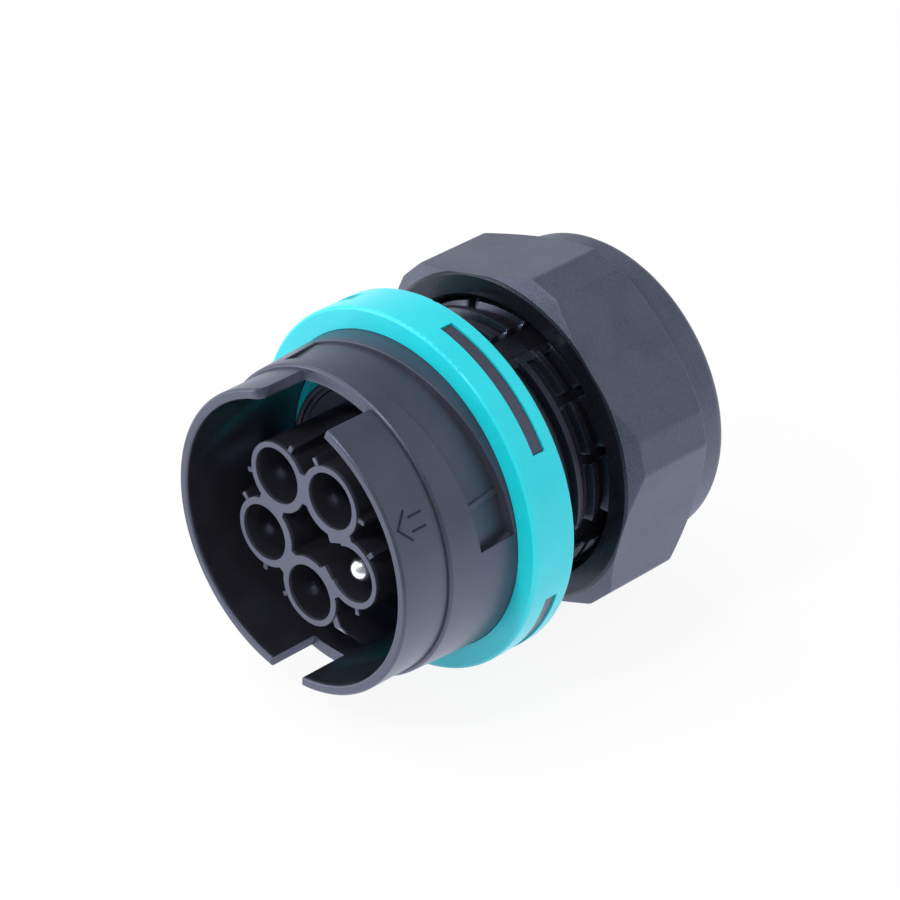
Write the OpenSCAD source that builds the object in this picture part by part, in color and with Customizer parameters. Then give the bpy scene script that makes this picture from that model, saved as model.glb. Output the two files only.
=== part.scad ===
// Circular panel socket: a five pole power connector half that passes through a panel.
// The mating sleeve looks to -Y, the cap nut closes the rear at +Y, and +Z is up.
// The origin is on the axis, in the plane where the panel meets the sealing ring.
// Depths are counted from the front rim backwards; angles run clockwise seen from the front, from the top.

/* [Mating sleeve] */
// Outer diameter of the front sleeve
sleeve_od = 35; // [34:0.5:36]
// Wall of the front sleeve
sleeve_wall = 1.2; // [0.9:0.1:1.5]
// Length of the thin front band
front_band_length = 6.25; // [5:0.25:7]
// Step from the front band up to the bayonet band
band_step = 0.5; // [0.3:0.1:0.8]
// Growth in radius along the bayonet band
band_draft = 0.5; // [0.2:0.1:0.8]
// Bevel on the front rim
rim_bevel = 0.25; // [0.1:0.05:0.4]
// Angle of the middle of the wide key notch
key_notch_angle = 6; // [-10:1:20]
// Angular width of the wide key notch
key_notch_span = 34; // [24:1:44]
// Radius on the rounded corner of the wide key notch
key_notch_round = 1.4; // [0.8:0.1:2]
// Width of the narrow notch opposite the wide one
small_notch_width = 4.8; // [3:0.1:7]

/* [Bayonet tracks] */
// Number of tracks round the band
track_count = 2; // [1:1:2]
// Angle where the first track starts
track_start = -25; // [-40:1:-10]
// Angular length of a track
track_span = 111; // [80:1:130]
// Width of a track along the axis
track_width = 4.7; // [3.5:0.1:5]
// Depth from the front rim to the middle of a track
track_depth = 11.5; // [11:0.1:12]
// Slant of a track, as a screw thread
track_slant = 5.6; // [3:0.1:6]
// Depth of the floor where a track starts
track_cut_start = 0.35; // [0.2:0.05:0.6]
// Depth of the floor where a track ends
track_cut_end = 1; // [0.7:0.05:1.1]
// Height of the detent rib across a track
detent_height = 0.3; // [0.15:0.05:0.5]
// Width of the detent rib
detent_width = 0.7; // [0.4:0.1:1.2]
// Angle from the end of a track back to its detent rib
detent_setback = 15.5; // [10:0.5:25]

/* [Flange and sealing ring] */
// Depth from the front rim to the face of the sealing ring
ring_front = 15.6; // [15:0.1:17]
// Width of the sealing ring along the axis
ring_width = 6.1; // [5.5:0.1:8]
// Outer diameter of the sealing ring
ring_od = 42.1; // [41:0.1:46]
// Rounding on the outer edges of the sealing ring
ring_edge = 0.4; // [0.2:0.1:0.8]
// Thickness of the ring over the faces of the flange
ring_skin = 1; // [0.8:0.1:1.4]
// Radial thickness of the ring round the flange
ring_cover = 1.45; // [1.1:0.05:1.8]
// Height of the seat inside the ring's rear face above the barrel's pilot
ring_seat_height = 0.4; // [0.3:0.1:0.8]
// Angles where the windows in the ring start
window_angles = [14.5, 109.5, 194.5, 289.5];
// Angular length of a window
window_span = 47.5; // [30:0.5:55]
// Width of a window along the axis
window_width = 1.75; // [1.2:0.05:2.2]
// Distance from the ring's face to its windows
window_offset = 2.6; // [2:0.1:3]
// Depth of the flange rib below the ring's surface in a window
window_recess = 0.2; // [0.1:0.05:0.5]

/* [Threaded barrel] */
// Length of the barrel behind the sealing ring
barrel_length = 15.1; // [14:0.1:16]
// Diameter over the thread
thread_od = 32; // [31.5:0.1:32.4]
// Height of the thread
thread_height = 0.8; // [0.5:0.05:1]
// Pitch of the thread
thread_pitch = 2.5; // [2:0.1:3]
// Number of thread segments round the barrel
thread_segments = 4; // [3:1:4]
// Angle where the first thread segment starts
thread_start = 28; // [0:1:60]
// Angular gap between thread segments
thread_gap = 13; // [8:1:20]
// Distance from the pilot to the middle of the first turn
thread_offset = 2.3; // [1.6:0.1:2.5]
// Width of a thread crest
thread_crest = 0.8; // [0.5:0.05:1.2]
// Angular width of the end block of a thread segment
end_block_span = 4; // [2:0.5:8]
// Angles of the slots across a thread segment, from its start
slot_angles = [23, 49];
// Width of a slot across the thread
slot_width = 1.1; // [0.6:0.1:1.6]
// Number of the first turn that the slots cut, counted from the sealing ring
slot_turn = 3; // [2:1:4]
// Length of the plain pilot that centres the panel hole
pilot_length = 1.2; // [0.8:0.1:2]
// Bore of the barrel
barrel_bore = 26.8; // [26.4:0.1:27.6]

/* [Mating cavity] */
// Depth from the front rim to the floor round the contacts
cavity_depth = 16.8; // [16.4:0.1:17.2]
// Thickness of the cavity floor
floor_thickness = 1.5; // [1.2:0.1:2]
// Radial wall of the collar round the contact insert
collar_wall = 0.7; // [0.5:0.05:0.9]
// Height of the collar above the cavity floor
collar_height = 3.1; // [2.5:0.1:3.5]
// Height of the mating seal
seal_height = 0.8; // [0.6:0.1:1.4]

/* [Contact insert] */
// Diameter of the circle of contacts
contact_circle = 14.1; // [13.6:0.1:14.4]
// Bore of a contact tube
tube_bore = 6.5; // [6:0.1:6.6]
// Wall of a contact tube
tube_wall = 0.65; // [0.5:0.05:0.75]
// Depth from the front rim to the ends of the tubes
tube_recess = 2.4; // [1.5:0.1:3.5]
// Distance from the middle of a tube's bore in to the middle of its round outside
tube_shift = 0.2; // [0.1:0.05:0.4]
// Thickness of a web between two tubes
web_width = 3.6; // [2.6:0.1:4.2]
// Thickness of a rib on a tube
rib_thickness = 0.6; // [0.4:0.05:0.9]
// Angle of a rib from the outward direction of its tube
rib_angle = 66; // [50:1:80]
// Distance from the end of a tube back to its ribs
rib_setback = 0.2; // [0.1:0.05:0.5]
// Reach of a rib from the tube at its front end
rib_reach = 1; // [0.6:0.1:1.4]
// Reach of a rib from the tube at its foot
rib_foot_reach = 1.6; // [1.2:0.1:1.8]
// Opening in the earth tube towards the middle, as an angle
earth_opening = 100; // [60:5:120]
// Angle of the coding plate
coding_angle = 158; // [154:1:160]
// Clearance from the coding plate to the inside of the sleeve
coding_gap = 2.6; // [1.3:0.1:3.3]
// Thickness of the coding plate
coding_thickness = 1; // [0.7:0.1:1.4]
// Width of the flat end of the coding plate beside the tube
coding_shelf = 0.3; // [0.2:0.1:0.8]
// Drop of the coding plate's sloping front edge
coding_slope = 2.9; // [1.5:0.1:4]
// Thickness of the gasket behind the cavity floor
gasket_thickness = 0.8; // [0.6:0.1:1.2]
// Thickness of the base that carries the tubes
insert_base = 1.6; // [1.2:0.1:2]
// Thickness of the insert's rear flange
insert_flange = 1.9; // [1.6:0.1:2.4]

/* [Contacts and terminals] */
// Diameter of a contact pin
pin_d = 2.8; // [2:0.1:3.2]
// Depth of a line pin's tip below the tube end
line_tip_depth = 4.6; // [3.6:0.1:6]
// Depth of the earth pin's tip below the tube end
earth_tip_depth = 0.5; // [0.3:0.1:2.5]
// Distance from the foot of the tubes to a contact's shoulder
shoulder_setback = 3.3; // [2.5:0.1:4]
// Diameter of the shoulder on a contact
shoulder_d = 4.4; // [3.6:0.1:5]
// Diameter of a screw terminal
terminal_d = 5.6; // [5:0.1:6]
// Length of a screw terminal
terminal_length = 7; // [6.5:0.1:7.4]
// Diameter of the wire hole in a terminal
wire_hole_d = 3.4; // [2.6:0.1:3.6]
// Depth of the wire hole
wire_hole_depth = 6; // [5:0.1:6.4]
// Diameter of a terminal screw
screw_d = 2.5; // [2:0.1:3]
// Distance from the rear of a terminal to its screw
screw_setback = 3; // [2.4:0.1:3.4]
// Diameter of the head of a terminal screw
screw_head_d = 3.2; // [2.8:0.1:3.4]
// Height of the head of a terminal screw
screw_head_height = 1.4; // [1:0.1:1.6]
// Width of the slot in a terminal screw
screw_slot = 0.6; // [0.4:0.1:0.8]
// Thickness of the retaining ring
retainer_thickness = 1.2; // [0.8:0.1:1.4]
// Radial width of the retaining ring
retainer_width = 1.9; // [1.4:0.1:2.4]
// Depth of the retaining ring's groove in the barrel
retainer_groove = 0.6; // [0.4:0.05:0.7]
// Angular gap in the retaining ring
retainer_gap = 30; // [15:1:60]

/* [Cap nut] */
// Gap between the sealing ring and the nut as it stands
nut_gap = 9.7; // [9.2:0.1:10.2]
// Width across the flats of the nut
nut_flats = 38.4; // [38:0.2:41]
// Angle of one corner of the nut as it stands
nut_angle = 18.5; // [0:0.5:60]
// Distance from the axis to the bevelled corners of the nut
nut_corner = 21; // [20.6:0.1:22]
// Length of the hexagon
hex_length = 12.35; // [11:0.05:13]
// Overall length of the nut
nut_length = 17.3; // [17:0.1:19]
// Diameter of the round boss at the rear
boss_d = 36.4; // [35:0.1:37]
// Rounding on the rear edge of the boss
boss_round = 1.2; // [0.6:0.1:2]
// Distance from the flats of the nut in to the edge of its end faces
face_inset = 0.1; // [0.1:0.1:0.5]
// Slope of the bevels at both ends of the hexagon
hex_bevel = 32; // [25:1:40]
// Bore of the nut, clear of the thread
nut_bore = 32.8; // [32.6:0.1:33.2]
// Bevel on the edges of the nut's openings
nut_lead_in = 0.5; // [0.3:0.1:0.8]
// Thickness of the nut's end wall
end_wall = 2.7; // [2:0.1:2.8]
// Diameter of the opening in the end wall
end_opening = 21; // [18:0.5:22]

/* [Gland] */
// Thickness of the slip washer
washer_thickness = 1; // [0.8:0.1:1.4]
// Length of the gland seal inside the nut
gland_length = 5.7; // [4.5:0.1:6]
// Outer diameter of the gland seal
gland_d = 25.8; // [25:0.1:26]
// Diameter of the cable hole in the gland seal
cable_d = 12; // [8:0.5:14]
// Bevel on the front of the gland seal
gland_bevel = 1.2; // [0.5:0.1:2]
// Distance of the seal's nose from the rear of the nut
nose_setback = 0.7; // [0.3:0.1:1.5]

/* [Clearances] */
// Clearance between pieces that are fixed together
seat_clearance = 0.05; // [0.02:0.01:0.1]
// Clearance round pieces that slide or turn
running_clearance = 0.3; // [0.25:0.05:0.4]

/* [Hidden] */
$fn = 96;
// Overlap of shapes that are joined, and excess of shapes that are cut away
eps = 0.01;
over = 1;
contact_count = 5;
contact_step = 360 / contact_count;
line_indices = [0, 1, 3, 4];
earth_index = 2;
coded_index = 3;

// Radii of the housing
sleeve_r = sleeve_od / 2;
sleeve_inner_r = sleeve_r - sleeve_wall;
band_front_r = sleeve_r + band_step;
band_rear_r = band_front_r + band_draft;
ring_r = ring_od / 2;
flange_r = ring_r - ring_cover;
thread_r = thread_od / 2;
ring_seat_r = thread_r + ring_seat_height;
root_r = thread_r - thread_height;
bore_r = barrel_bore / 2;

// The floor gets deeper along a track because its centre is set off to one side
track_offset = (track_cut_end - track_cut_start) / 2 / sin(track_span / 2);
track_floor_r = band_front_r + band_draft / 2 - (track_cut_end + track_cut_start) / 2;

// Depths of the housing, from the front rim
ring_rear = ring_front + ring_width;
flange_front = ring_front + ring_skin;
flange_rear = ring_rear - ring_skin;
pilot_rear = ring_rear + pilot_length;
barrel_rear = ring_rear + barrel_length;
floor_rear = cavity_depth + floor_thickness;
collar_front = cavity_depth - collar_height;

// Contact insert, contacts and terminals
insert_r = bore_r - collar_wall - seat_clearance;
floor_hole_r = insert_r + seat_clearance;
collar_r = floor_hole_r + collar_wall;
circle_r = contact_circle / 2;
tube_inner_r = tube_bore / 2;
tube_r = tube_inner_r + tube_wall;
shell_r = tube_r + tube_shift;
shell_circle_r = circle_r - tube_shift;
web_reach = circle_r * sin(contact_step / 2) - tube_inner_r - tube_wall * 0.4;
fill_r = bore_r - seat_clearance;
coding_reach = sleeve_inner_r - coding_gap;
flange_seat = floor_rear + gasket_thickness;
insert_rear = flange_seat + insert_flange;
terminal_rear = insert_rear + terminal_length;
carrier_front = collar_front + insert_base;
shoulder_front = collar_front + shoulder_setback;
screw_depth = terminal_rear - screw_setback;
retainer_rear = terminal_rear + retainer_thickness;

// Cap nut and gland
nut_front = ring_rear + nut_gap;
hex_rear = nut_front + hex_length;
nut_rear = nut_front + nut_length;
wall_front = nut_rear - end_wall;
nut_bore_r = nut_bore / 2;
boss_r = boss_d / 2;
flat_r = nut_flats / 2;
opening_r = end_opening / 2;
washer_front = wall_front - washer_thickness;
gland_r = gland_d / 2;
nose_r = opening_r - running_clearance;

// Colours of the materials
black_satin = [0.10, 0.10, 0.115];
black_gloss = [0.07, 0.07, 0.08];
teal = [0.10, 0.72, 0.72];
silver = [0.80, 0.80, 0.80];
grey_rubber = [0.16, 0.16, 0.17];
steel = [0.62, 0.63, 0.65];

// Lays a piece drawn along its depth onto the part's axis
module on_axis() {
    translate([0, -ring_rear, 0]) rotate([-90, 0, 0]) children();
}

// Turns a piece drawn along X to an angle counted clockwise from the top
module at_angle(angle) {
    rotate([0, 0, angle - 90]) children();
}

// A ring or an arc of a ring with a square section
module arc_block(inner, outer, front, rear, start = 0, span = 360) {
    at_angle(start) rotate_extrude(angle = span)
        translate([inner, front]) square([outer - inner, rear - front]);
}

// Angle of each contact, from the upper left, clockwise
function contact_angle(index) = contact_step * (index - 0.5);

module at_contact(index) {
    at_angle(contact_angle(index)) translate([circle_r, 0, 0]) children();
}

// Section of the housing as a solid of revolution
module housing_section() {
    polygon([
        [sleeve_inner_r, 0],
        [sleeve_r - rim_bevel, 0],
        [sleeve_r, rim_bevel],
        [sleeve_r, front_band_length],
        [band_front_r - rim_bevel, front_band_length],
        [band_front_r, front_band_length + rim_bevel],
        [band_rear_r, ring_front],
        [band_rear_r, flange_front],
        [flange_r, flange_front],
        [flange_r, flange_rear],
        [ring_seat_r, flange_rear],
        [ring_seat_r, ring_rear],
        [thread_r, ring_rear],
        [thread_r, pilot_rear],
        [root_r, pilot_rear + thread_height],
        [root_r, barrel_rear - thread_height],
        [root_r - thread_height, barrel_rear],
        [bore_r, barrel_rear],
        [bore_r, retainer_rear + seat_clearance],
        [bore_r + retainer_groove, retainer_rear + seat_clearance],
        [bore_r + retainer_groove, terminal_rear],
        [bore_r, terminal_rear],
        [bore_r, floor_rear],
        [floor_hole_r, floor_rear],
        [floor_hole_r, collar_front],
        [collar_r, collar_front],
        [collar_r, cavity_depth],
        [sleeve_inner_r, cavity_depth],
    ]);
}

// The wide notch that keys the mating half, with one rounded corner at the rim
module key_notch() {
    start = key_notch_angle - key_notch_span / 2;
    arc_block(sleeve_inner_r - over, sleeve_r + over, -over, front_band_length, start, key_notch_span);
    at_angle(start) translate([sleeve_inner_r - over, 0, 0]) rotate([0, 90, 0])
        linear_extrude(sleeve_wall + 2 * over) difference() {
            translate([-key_notch_round, -key_notch_round]) square(key_notch_round + over / 2);
            translate([-key_notch_round, -key_notch_round]) circle(key_notch_round);
        }
}

module small_notch() {
    at_angle(key_notch_angle + 180)
        translate([sleeve_inner_r - over, -small_notch_width / 2, -over])
            cube([sleeve_wall + 2 * over, small_notch_width, front_band_length + over]);
}

// Places a slanted track by the angle of its middle
module on_track(index) {
    at_angle(track_start + track_span / 2 + index * 360 / track_count)
        translate([0, 0, track_depth]) rotate([track_slant, 0, 0]) children();
}

module track(index) {
    on_track(index) translate([0, -track_offset, 0]) rotate([0, 0, -track_span / 2])
        rotate_extrude(angle = track_span)
            translate([track_floor_r, -track_width / 2]) square([track_cut_end + 2 * over, track_width]);
}

module detent(index) {
    turn = track_span / 2 - detent_setback;
    on_track(index) translate([0, -track_offset, 0]) rotate([0, 0, turn])
        translate([track_floor_r - over / 2, -detent_width / 2, -track_width / 2 - rim_bevel])
            cube([detent_height + over / 2, detent_width, track_width + 2 * rim_bevel]);
}

// One turn of one thread segment, slanted by the pitch
module thread_ridge(depth, span) {
    slant = atan(thread_pitch / (2 * PI * thread_r));
    sunk_r = root_r - thread_height / 2;
    foot = thread_crest + thread_r - sunk_r;
    translate([0, 0, depth]) rotate([slant, 0, 0]) rotate([0, 0, -span / 2])
        rotate_extrude(angle = span) polygon([
            [sunk_r, -foot / 2],
            [thread_r, -thread_crest / 2],
            [thread_r, thread_crest / 2],
            [sunk_r, foot / 2],
        ]);
}

// Narrow slot along the axis, through the turns behind its front
module thread_slot(angle, front) {
    at_angle(angle) translate([root_r - over, -slot_width / 2, front])
        cube([thread_height + 2 * over, slot_width, barrel_rear - front + over]);
}

module barrel_thread() {
    step = 360 / thread_segments;
    span = step - thread_gap;
    first = pilot_rear + thread_offset;
    turns = floor((barrel_rear - first - thread_crest) / thread_pitch);
    for (segment = [0 : thread_segments - 1]) {
        start = thread_start + segment * step;
        rise = first + thread_pitch * segment / thread_segments;
        difference() {
            at_angle(start + span / 2) for (turn = [0 : turns - 1])
                thread_ridge(rise + turn * thread_pitch, span);
            for (angle = slot_angles)
                thread_slot(start + angle, rise + (slot_turn - 1.5) * thread_pitch);
        }
        arc_block(root_r - thread_height / 2, thread_r - rim_bevel, pilot_rear,
                  rise + (turns - 1) * thread_pitch, start - end_block_span / 4, end_block_span);
    }
}

// The flange shows through the sealing ring as dark ribs
module window_ribs(reach, margin) {
    front = ring_front + window_offset;
    turn = margin / ring_r * 180 / PI;
    for (start = window_angles)
        arc_block(flange_r - over / 2, reach, front + margin, front + window_width - margin,
                  start + turn, window_span - 2 * turn);
}

module socket_body() {
    color(black_satin) on_axis() {
        difference() {
            rotate_extrude() housing_section();
            key_notch();
            small_notch();
            for (index = [0 : track_count - 1]) track(index);
        }
        for (index = [0 : track_count - 1]) detent(index);
        window_ribs(ring_r - window_recess, seat_clearance);
        barrel_thread();
    }
}

// Soft ring moulded over the flange; its rear face seals against the panel
module sealing_ring() {
    inner = ring_seat_r + seat_clearance;
    color(teal) on_axis() difference() {
        rotate_extrude() difference() {
            union() {
                translate([inner, ring_front + ring_edge])
                    square([ring_r - inner, ring_width - 2 * ring_edge]);
                translate([inner, ring_front]) square([ring_r - inner - ring_edge, ring_width]);
                for (depth = [ring_front + ring_edge, ring_rear - ring_edge])
                    translate([ring_r - ring_edge, depth]) circle(ring_edge);
            }
            translate([0, ring_front - over]) square([band_rear_r + seat_clearance, ring_skin + over]);
            translate([0, flange_front - seat_clearance])
                square([flange_r + seat_clearance, flange_rear - flange_front + 2 * seat_clearance]);
        }
        window_ribs(ring_r + over, 0);
    }
}

// Two lipped soft ring on the cavity floor, for the nose of the mating half
module mating_seal() {
    inner = collar_r + seat_clearance;
    outer = sleeve_inner_r - seat_clearance;
    lip = (outer - inner) / 4;
    front = cavity_depth - seal_height;
    valley = cavity_depth - seal_height / 2;
    color(teal) on_axis() rotate_extrude() polygon([
        [inner, cavity_depth],
        [inner, front],
        [inner + lip, front],
        [inner + lip * 1.5, valley],
        [outer - lip * 1.5, valley],
        [outer - lip, front],
        [outer, front],
        [outer, cavity_depth],
    ]);
}

// A rib on a tube that reaches further out towards its foot
module tube_rib(index, side) {
    at_contact(index) rotate([0, 0, side * rib_angle]) rotate([90, 0, 0])
        translate([0, 0, -rib_thickness / 2]) linear_extrude(rib_thickness) polygon([
            [tube_r - tube_wall / 2, tube_recess + rib_setback],
            [tube_r + rib_reach, tube_recess + rib_setback],
            [tube_r + rib_foot_reach, collar_front + eps],
            [tube_r - tube_wall / 2, collar_front + eps],
        ]);
}

// Disc of a tube, thicker towards the middle of the insert
module tube_disc(index) {
    at_contact(index) translate([-tube_shift, 0]) circle(shell_r);
}

// Discs of the tubes and the webs between them, with the earth tube open towards the middle
module tube_section() {
    gap_r = shell_r + tube_shift + running_clearance;
    for (index = line_indices) tube_disc(index);
    difference() {
        tube_disc(earth_index);
        at_contact(earth_index) polygon(concat([[0, 0]],
            [for (step = [-2 : 2]) let(turn = 180 + step * earth_opening / 4) gap_r * [cos(turn), sin(turn)]]));
    }
    for (index = [0 : contact_count - 1])
        at_angle(contact_angle(index) + contact_step / 2)
            translate([shell_circle_r * cos(contact_step / 2) - web_width / 2, -web_reach])
                square([web_width, 2 * web_reach]);
}

// A radial plate in place of one rib of the bottom tube, with a sloping front edge
module coding_plate() {
    inner = circle_r + tube_inner_r / 2;
    shelf = circle_r + tube_inner_r + coding_shelf;
    foot = insert_r - running_clearance;
    at_angle(coding_angle) rotate([90, 0, 0]) translate([0, 0, -coding_thickness / 2])
        linear_extrude(coding_thickness) polygon([
            [inner, tube_recess + rib_setback],
            [shelf, tube_recess + rib_setback],
            [coding_reach, tube_recess + coding_slope],
            [coding_reach, collar_front - running_clearance],
            [foot, collar_front - running_clearance],
            [foot, collar_front + eps],
            [inner, collar_front + eps],
        ]);
}

// Front half of the insulator: the tubes on a base that they pass through
module contact_insert() {
    color(black_satin) on_axis() difference() {
        union() {
            translate([0, 0, collar_front]) cylinder(r = insert_r, h = insert_base);
            translate([0, 0, tube_recess]) linear_extrude(collar_front - tube_recess + eps) tube_section();
            for (index = [0 : contact_count - 1], side = index == coded_index ? [1] : [-1, 1])
                tube_rib(index, side);
            coding_plate();
        }
        for (index = [0 : contact_count - 1]) at_contact(index) translate([0, 0, tube_recess - over])
            cylinder(r = tube_inner_r, h = carrier_front - tube_recess + 2 * over);
    }
}

// Rear half of the insulator, bonded to the front half, which holds the contacts by their shoulders
module contact_carrier() {
    color(black_satin) on_axis() difference() {
        union() {
            translate([0, 0, carrier_front]) cylinder(r = insert_r, h = insert_rear - carrier_front);
            translate([0, 0, flange_seat]) cylinder(r = fill_r, h = insert_flange);
        }
        for (index = [0 : contact_count - 1]) at_contact(index) {
            translate([0, 0, carrier_front - over])
                cylinder(d = pin_d + 2 * seat_clearance, h = insert_rear - carrier_front + 2 * over);
            translate([0, 0, shoulder_front])
                cylinder(d = shoulder_d + 2 * seat_clearance, h = insert_rear - shoulder_front + over);
        }
    }
}

module insert_gasket() {
    color(grey_rubber) on_axis()
        arc_block(floor_hole_r + seat_clearance, bore_r - seat_clearance, floor_rear, flange_seat);
}

// A turned contact: round tipped pin, shoulder, and a screw terminal for the wire
module contact(index, tip_depth) {
    pin_r = pin_d / 2;
    tip = tube_recess + tip_depth;
    color(silver) on_axis() at_contact(index) difference() {
        union() {
            translate([0, 0, tip + pin_r]) sphere(r = pin_r);
            translate([0, 0, tip + pin_r]) cylinder(r = pin_r, h = shoulder_front - tip - pin_r + eps);
            translate([0, 0, shoulder_front]) cylinder(d = shoulder_d, h = insert_rear - shoulder_front + eps);
            translate([0, 0, insert_rear]) cylinder(d = terminal_d, h = terminal_length);
        }
        translate([0, 0, terminal_rear - wire_hole_depth])
            cylinder(d = wire_hole_d, h = wire_hole_depth + over);
        translate([0, 0, screw_depth]) rotate([0, 90, 0])
            cylinder(d = screw_d + 2 * seat_clearance, h = terminal_d);
    }
}

module line_contact_1() { contact(line_indices[0], line_tip_depth); }
module line_contact_2() { contact(line_indices[1], line_tip_depth); }
module line_contact_3() { contact(line_indices[2], line_tip_depth); }
module line_contact_4() { contact(line_indices[3], line_tip_depth); }
module earth_contact() { contact(earth_index, earth_tip_depth); }

// Insulating block round the terminals, with a driver hole to each screw
module terminal_block() {
    color(black_gloss) on_axis() difference() {
        translate([0, 0, insert_rear]) cylinder(r = fill_r, h = terminal_length);
        for (index = [0 : contact_count - 1]) at_contact(index) {
            translate([0, 0, insert_rear - over])
                cylinder(d = terminal_d + 2 * seat_clearance, h = terminal_length + 2 * over);
            translate([0, 0, screw_depth]) rotate([0, 90, 0])
                cylinder(d = screw_head_d + running_clearance, h = bore_r);
        }
    }
}

// Slotted screw that presses the wire against the wall of its terminal
module terminal_screw(index) {
    head_seat = terminal_d / 2 + seat_clearance;
    point = wire_hole_d / 4;
    slot_depth = screw_head_height / 2;
    at_contact(index) translate([0, 0, screw_depth]) rotate([0, 90, 0]) difference() {
        union() {
            translate([0, 0, point]) cylinder(d = screw_d, h = head_seat - point + eps);
            translate([0, 0, head_seat]) cylinder(d = screw_head_d, h = screw_head_height);
        }
        translate([-screw_head_d, -screw_slot / 2, head_seat + screw_head_height - slot_depth])
            cube([2 * screw_head_d, screw_slot, slot_depth + over]);
    }
}

module terminal_screws() {
    color(steel) on_axis()
        for (index = [0 : contact_count - 1]) terminal_screw(index);
}

// Open spring ring that holds the insert in the barrel
module retaining_ring() {
    outer = bore_r + retainer_groove - seat_clearance;
    color(steel) on_axis()
        arc_block(outer - retainer_width, outer, terminal_rear, retainer_rear,
                  180 + retainer_gap / 2, 360 - retainer_gap);
}

// Hexagon with bevelled corners, cut back by a cone at each end
module nut_hexagon() {
    reach = nut_corner - flat_r + over;
    fall = reach * tan(hex_bevel);
    face_r = flat_r - face_inset;
    intersection() {
        at_angle(nut_angle) translate([0, 0, nut_front])
            cylinder(r = flat_r / cos(30), h = hex_length, $fn = 6);
        at_angle(nut_angle + 30) translate([0, 0, nut_front])
            cylinder(r = nut_corner / cos(30), h = hex_length, $fn = 6);
        rotate_extrude() polygon([
            [0, nut_front],
            [face_r, nut_front],
            [face_r + reach, nut_front + fall],
            [face_r + reach, hex_rear - fall],
            [face_r, hex_rear],
            [0, hex_rear],
        ]);
    }
}

// Round boss behind the hexagon, with a rounded rear edge
module nut_boss() {
    rotate_extrude() {
        translate([0, hex_rear - eps]) square([boss_r, nut_rear - hex_rear - boss_round + eps]);
        translate([0, hex_rear - eps]) square([boss_r - boss_round, nut_rear - hex_rear + eps]);
        translate([boss_r - boss_round, nut_rear - boss_round]) circle(boss_round);
    }
}

module cap_nut() {
    color(black_satin) on_axis() difference() {
        union() {
            nut_hexagon();
            nut_boss();
        }
        translate([0, 0, nut_front - over]) cylinder(r = nut_bore_r, h = wall_front - nut_front + over);
        translate([0, 0, nut_front - eps])
            cylinder(r1 = nut_bore_r + nut_lead_in, r2 = nut_bore_r, h = nut_lead_in);
        translate([0, 0, wall_front - over]) cylinder(r = opening_r, h = end_wall + 2 * over);
        translate([0, 0, nut_rear - nut_lead_in])
            cylinder(r1 = opening_r, r2 = opening_r + nut_lead_in + eps, h = nut_lead_in + eps);
    }
}

// Keeps the turning nut from dragging on the gland seal
module slip_washer() {
    color(silver) on_axis()
        arc_block(opening_r, gland_r, washer_front, wall_front);
}

// Soft collar that grips the cable, with a nose through the end wall
module gland_seal() {
    front = washer_front - gland_length;
    nose = nut_rear - nose_setback;
    color(grey_rubber) on_axis() rotate_extrude() polygon([
        [cable_d / 2, front],
        [gland_r - gland_bevel, front],
        [gland_r, front + gland_bevel],
        [gland_r, washer_front],
        [nose_r, washer_front],
        [nose_r, nose],
        [cable_d / 2, nose],
    ]);
}

socket_body();
sealing_ring();
mating_seal();
contact_insert();
contact_carrier();
insert_gasket();
line_contact_1();
line_contact_2();
line_contact_3();
line_contact_4();
earth_contact();
terminal_block();
terminal_screws();
retaining_ring();
cap_nut();
slip_washer();
gland_seal();
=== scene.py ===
# %% [markdown]
# # A circular panel socket
# This connector half passes through a panel. At the front a keyed sleeve guards five contact
# tubes, a teal ring seals against the panel, a threaded barrel goes through it, and a hexagonal
# nut with a cable gland closes the rear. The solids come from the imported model, which stays where
# it is. This notebook rounds their edges, makes the pieces that follow a rule, and gives each
# piece its finish. It ends with the light and the camera of the photograph.

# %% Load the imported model
import math

import bmesh
import bpy
from mathutils import Matrix, Vector


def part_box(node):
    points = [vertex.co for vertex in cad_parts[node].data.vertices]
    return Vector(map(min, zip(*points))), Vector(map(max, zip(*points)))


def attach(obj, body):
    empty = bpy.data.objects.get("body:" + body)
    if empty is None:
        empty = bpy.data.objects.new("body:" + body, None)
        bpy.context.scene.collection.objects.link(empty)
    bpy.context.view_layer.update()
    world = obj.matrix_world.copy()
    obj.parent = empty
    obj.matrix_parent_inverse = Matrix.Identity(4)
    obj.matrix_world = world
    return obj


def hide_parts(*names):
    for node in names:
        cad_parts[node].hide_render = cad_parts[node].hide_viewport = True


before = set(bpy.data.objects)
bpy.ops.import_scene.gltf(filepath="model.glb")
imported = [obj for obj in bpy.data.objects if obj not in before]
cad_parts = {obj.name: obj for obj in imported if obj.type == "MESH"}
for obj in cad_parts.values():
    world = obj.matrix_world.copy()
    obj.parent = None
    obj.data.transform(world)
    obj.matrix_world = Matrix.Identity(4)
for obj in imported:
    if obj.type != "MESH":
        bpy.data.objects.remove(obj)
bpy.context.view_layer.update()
print("nodes:", sorted(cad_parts))

# %% [markdown]
# ## Places on a round part
# Everything on a socket lies round one axis. A point is easier to name by its depth behind the
# front rim, its angle clockwise from the top as seen from the front, and its distance from the
# axis than by x, y and z. One function turns those three into a place in the model.

# %% Depth, angle and radius
MM = 0.001
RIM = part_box("socket_body")[0].y


def at(depth, angle, radius):
    """The place at a depth, an angle in degrees and a radius, the lengths in millimetres"""
    turn = math.radians(angle)
    return Vector((radius * math.sin(turn) * MM, RIM + depth * MM, radius * math.cos(turn) * MM))


print("the front rim is at y =", round(RIM / MM, 2), "mm")

# %% [markdown]
# ## Nodes by name
# Finishes, Geometry Nodes and the world are all trees of nodes. A tree can be drawn by hand in
# the editor, but here each node is one call: plain values are set on its sockets, and another
# node's output is linked to them. The same helper serves every tree in this notebook.

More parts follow.
